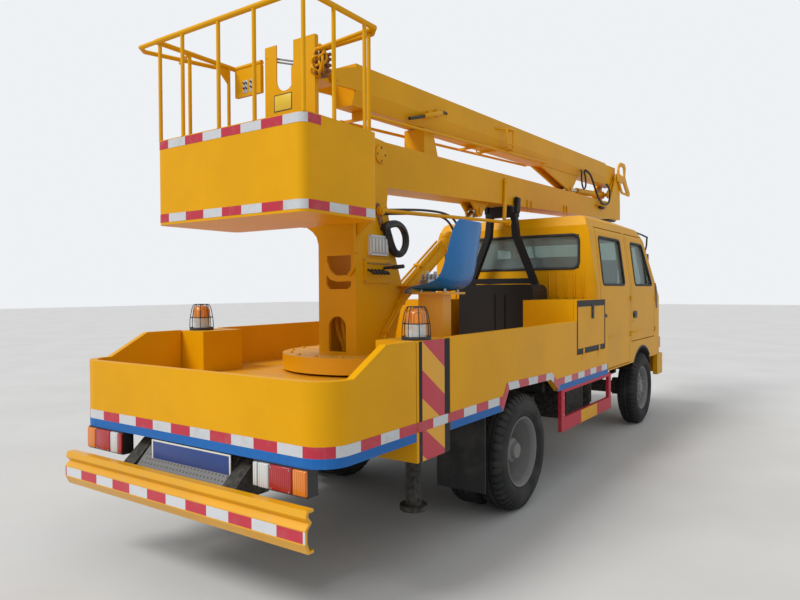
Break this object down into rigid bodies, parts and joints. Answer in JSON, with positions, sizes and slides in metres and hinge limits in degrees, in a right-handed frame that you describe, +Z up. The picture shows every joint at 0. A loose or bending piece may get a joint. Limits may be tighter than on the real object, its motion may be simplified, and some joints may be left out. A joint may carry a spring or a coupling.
{
  "type": "articulated boom aerial platform truck",
  "caption": "Light double-cab truck with a two-boom folding arm, work basket, turntable with operator seat, outriggers and low-walled deck.",
  "frame": {"origin": "on the ground under the middle of the whole length and width", "axes": "+X forward, +Y to the vehicle's left, +Z up"},
  "size_m": [7.543, 1.913, 3.204],
  "materials": {
    "yellow_paint": "semi-gloss",
    "deck_yellow": "semi-gloss",
    "black_paint": "satin",
    "bumper_grey": "semi-gloss",
    "guard_red": "satin",
    "dark_iron": "rough",
    "chrome_rod": "polished",
    "rim_steel": "satin",
    "wheel": "matte",
    "rubber": "matte",
    "black_plastic": "matte",
    "blue_plastic": "semi-gloss",
    "amber_lens": "clear amber",
    "lamp_lens": "lens",
    "glass": "clear",
    "interior": "matte"
  },
  "bodies": {
    "truck": {"chassis_frame": "black_paint", "rear_axle": "black_paint", "front_axle": "black_paint", "driveline": "dark_iron", "frame_boxes": "black_paint", "deck_floor": "deck_yellow", "deck_walls": "yellow_paint", "rear_bumper": "yellow_paint", "rear_step": "black_paint", "lamps": "lamp_lens", "side_guards": "guard_red", "mud_flaps": "rubber", "boom_rest": "black_paint", "oil_tank": "black_paint", "outrigger_tubes": "yellow_paint", "lockers": "yellow_paint", "cab_shell": "yellow_paint", "cab_glass": "glass", "cab_interior": "interior", "front_bumper": "bumper_grey", "mirrors": "black_plastic", "slew_base": "dark_iron", "grille": "black_plastic", "exhaust": "dark_iron"},
    "turntable": {"turntable_disc": "deck_yellow", "turret": "deck_yellow", "operator_controls": "black_plastic", "operator_seat": "blue_plastic"},
    "lift_barrel": {"lift_barrel": "yellow_paint"},
    "lift_rod": {"lift_rod": "chrome_rod"},
    "lower_boom": {"lower_boom": "yellow_paint"},
    "levelling_link": {"levelling_link": "yellow_paint"},
    "levelling_crank": {"levelling_crank": "yellow_paint"},
    "elbow": {"elbow": "yellow_paint"},
    "arm_barrel": {"arm_barrel": "yellow_paint"},
    "arm_rod": {"arm_rod": "chrome_rod"},
    "upper_boom": {"upper_boom": "yellow_paint"},
    "basket": {"basket_tub": "yellow_paint", "basket_rails": "yellow_paint", "basket_mount": "yellow_paint"},
    "outrigger_left": {"outrigger_left": "yellow_paint", "beacon_left": "amber_lens"},
    "locker_door_left": {"locker_door_left": "yellow_paint"},
    "jack_left": {"jack_left": "black_paint"},
    "front_jack_left": {"front_jack_left": "black_paint"},
    "knuckle_left": {"knuckle_left": "dark_iron"},
    "front_wheel_left": {"front_wheel_left": "wheel"},
    "rear_wheels_left": {"rear_wheels_left": "wheel"},
    "door_front_left": {"door_front_left": "yellow_paint"},
    "door_rear_left": {"door_rear_left": "yellow_paint"},
    "outrigger_right": {"outrigger_right": "yellow_paint", "beacon_right": "amber_lens"},
    "locker_door_right": {"locker_door_right": "yellow_paint"},
    "jack_right": {"jack_right": "black_paint"},
    "front_jack_right": {"front_jack_right": "black_paint"},
    "knuckle_right": {"knuckle_right": "dark_iron"},
    "front_wheel_right": {"front_wheel_right": "wheel"},
    "rear_wheels_right": {"rear_wheels_right": "wheel"},
    "door_front_right": {"door_front_right": "yellow_paint"},
    "door_rear_right": {"door_rear_right": "yellow_paint"}
  },
  "joints": [
    {"name": "slew", "type": "hinge", "parent": "truck", "child": "turntable", "pos_m": [-2.1785, 0, 0.965], "axis": [0, 0, 1], "continuous": true},
    {"name": "luff", "type": "hinge", "parent": "turntable", "child": "lower_boom", "pos_m": [-2.2105, 0, 2.376], "axis": [0, -1, 0], "range_deg": [0, 75]},
    {"name": "lift_swing", "type": "hinge", "parent": "turntable", "child": "lift_barrel", "pos_m": [-2.1085, 0, 1.205], "axis": [0, -1, 0], "range_deg": [0, 46.41]},
    {"name": "lift_extend", "type": "slide", "parent": "lift_barrel", "child": "lift_rod", "axis": [0.8423, 0, 0.5391], "range_m": [0, 0.9325]},
    {"name": "link_swing", "type": "hinge", "parent": "turntable", "child": "levelling_link", "pos_m": [-2.2485, 0, 2], "axis": [0, -1, 0], "range_deg": [0, 75]},
    {"name": "crank_level", "type": "hinge", "parent": "lower_boom", "child": "levelling_crank", "pos_m": [-0.2605, 0, 2.45841], "axis": [0, -1, 0], "range_deg": [-75, 0]},
    {"name": "elbow_level", "type": "hinge", "parent": "lower_boom", "child": "elbow", "pos_m": [3.2715, 0, 2.95], "axis": [0, -1, 0], "range_deg": [-75, 0]},
    {"name": "arm", "type": "hinge", "parent": "elbow", "child": "upper_boom", "pos_m": [3.2715, 0, 2.95], "axis": [0, 1, 0], "range_deg": [0, 85]},
    {"name": "arm_cylinder_swing", "type": "hinge", "parent": "elbow", "child": "arm_barrel", "pos_m": [2.9615, 0, 2.722], "axis": [0, 1, 0], "range_deg": [0, 89.14]},
    {"name": "arm_cylinder_extend", "type": "slide", "parent": "arm_barrel", "child": "arm_rod", "axis": [-0.9981, 0, -0.062], "range_m": [0, 0.50767]},
    {"name": "basket_level", "type": "hinge", "parent": "upper_boom", "child": "basket", "pos_m": [-2.5885, 0, 2.8], "axis": [0, 1, 0], "range_deg": [-85, 0]},
    {"name": "outrigger_left_out", "type": "slide", "parent": "truck", "child": "outrigger_left", "axis": [0, 1, 0], "range_m": [0, 0.45]},
    {"name": "jack_left_down", "type": "slide", "parent": "outrigger_left", "child": "jack_left", "axis": [0, 0, -1], "range_m": [0, 0.3]},
    {"name": "front_jack_left_down", "type": "slide", "parent": "truck", "child": "front_jack_left", "axis": [0, 0, -1], "range_m": [0, 0.3]},
    {"name": "steer_left", "type": "hinge", "parent": "truck", "child": "knuckle_left", "pos_m": [1.7015, 0.618, 0.3875], "axis": [0, 0, 1], "range_deg": [-35, 35]},
    {"name": "front_spin_left", "type": "hinge", "parent": "knuckle_left", "child": "front_wheel_left", "pos_m": [1.7015, 0.768, 0.3875], "axis": [0, 1, 0], "continuous": true},
    {"name": "rear_spin_left", "type": "hinge", "parent": "truck", "child": "rear_wheels_left", "pos_m": [-1.6585, 0.842, 0.3875], "axis": [0, 1, 0], "continuous": true},
    {"name": "door_front_left_open", "type": "hinge", "parent": "truck", "child": "door_front_left", "pos_m": [2.2465, 0.856, 1.2], "axis": [0, 0, -1], "range_deg": [0, 68]},
    {"name": "door_rear_left_open", "type": "hinge", "parent": "truck", "child": "door_rear_left", "pos_m": [1.2215, 0.856, 1.2], "axis": [0, 0, -1], "range_deg": [0, 68]},
    {"name": "locker_left_open", "type": "hinge", "parent": "truck", "child": "locker_door_left", "pos_m": [-0.2975, 0.951, 0.948], "axis": [-1, 0, 0], "range_deg": [0, 90]},
    {"name": "outrigger_right_out", "type": "slide", "parent": "truck", "child": "outrigger_right", "axis": [0, -1, 0], "range_m": [0, 0.45]},
    {"name": "jack_right_down", "type": "slide", "parent": "outrigger_right", "child": "jack_right", "axis": [0, 0, -1], "range_m": [0, 0.3]},
    {"name": "front_jack_right_down", "type": "slide", "parent": "truck", "child": "front_jack_right", "axis": [0, 0, -1], "range_m": [0, 0.3]},
    {"name": "steer_right", "type": "hinge", "parent": "truck", "child": "knuckle_right", "pos_m": [1.7015, -0.618, 0.3875], "axis": [0, 0, 1], "range_deg": [-35, 35]},
    {"name": "front_spin_right", "type": "hinge", "parent": "knuckle_right", "child": "front_wheel_right", "pos_m": [1.7015, -0.768, 0.3875], "axis": [0, 1, 0], "continuous": true},
    {"name": "rear_spin_right", "type": "hinge", "parent": "truck", "child": "rear_wheels_right", "pos_m": [-1.6585, -0.842, 0.3875], "axis": [0, 1, 0], "continuous": true},
    {"name": "door_front_right_open", "type": "hinge", "parent": "truck", "child": "door_front_right", "pos_m": [2.2465, -0.856, 1.2], "axis": [0, 0, 1], "range_deg": [0, 68]},
    {"name": "door_rear_right_open", "type": "hinge", "parent": "truck", "child": "door_rear_right", "pos_m": [1.2215, -0.856, 1.2], "axis": [0, 0, 1], "range_deg": [0, 68]},
    {"name": "locker_right_open", "type": "hinge", "parent": "truck", "child": "locker_door_right", "pos_m": [-0.2975, -0.951, 0.948], "axis": [1, 0, 0], "range_deg": [0, 90]}
  ],
  "couplings": [
    {"joint": "lift_swing", "follows": "luff", "ratio": 0.61878},
    {"joint": "lift_extend", "follows": "luff", "m_per_rad": 0.71238},
    {"joint": "link_swing", "follows": "luff", "ratio": 1},
    {"joint": "crank_level", "follows": "luff", "ratio": -1},
    {"joint": "elbow_level", "follows": "luff", "ratio": -1},
    {"joint": "arm_cylinder_swing", "follows": "arm", "ratio": 1.0487},
    {"joint": "arm_cylinder_extend", "follows": "arm", "m_per_rad": 0.3422},
    {"joint": "basket_level", "follows": "arm", "ratio": -1},
    {"joint": "steer_right", "follows": "steer_left", "ratio": 1}
  ]
}
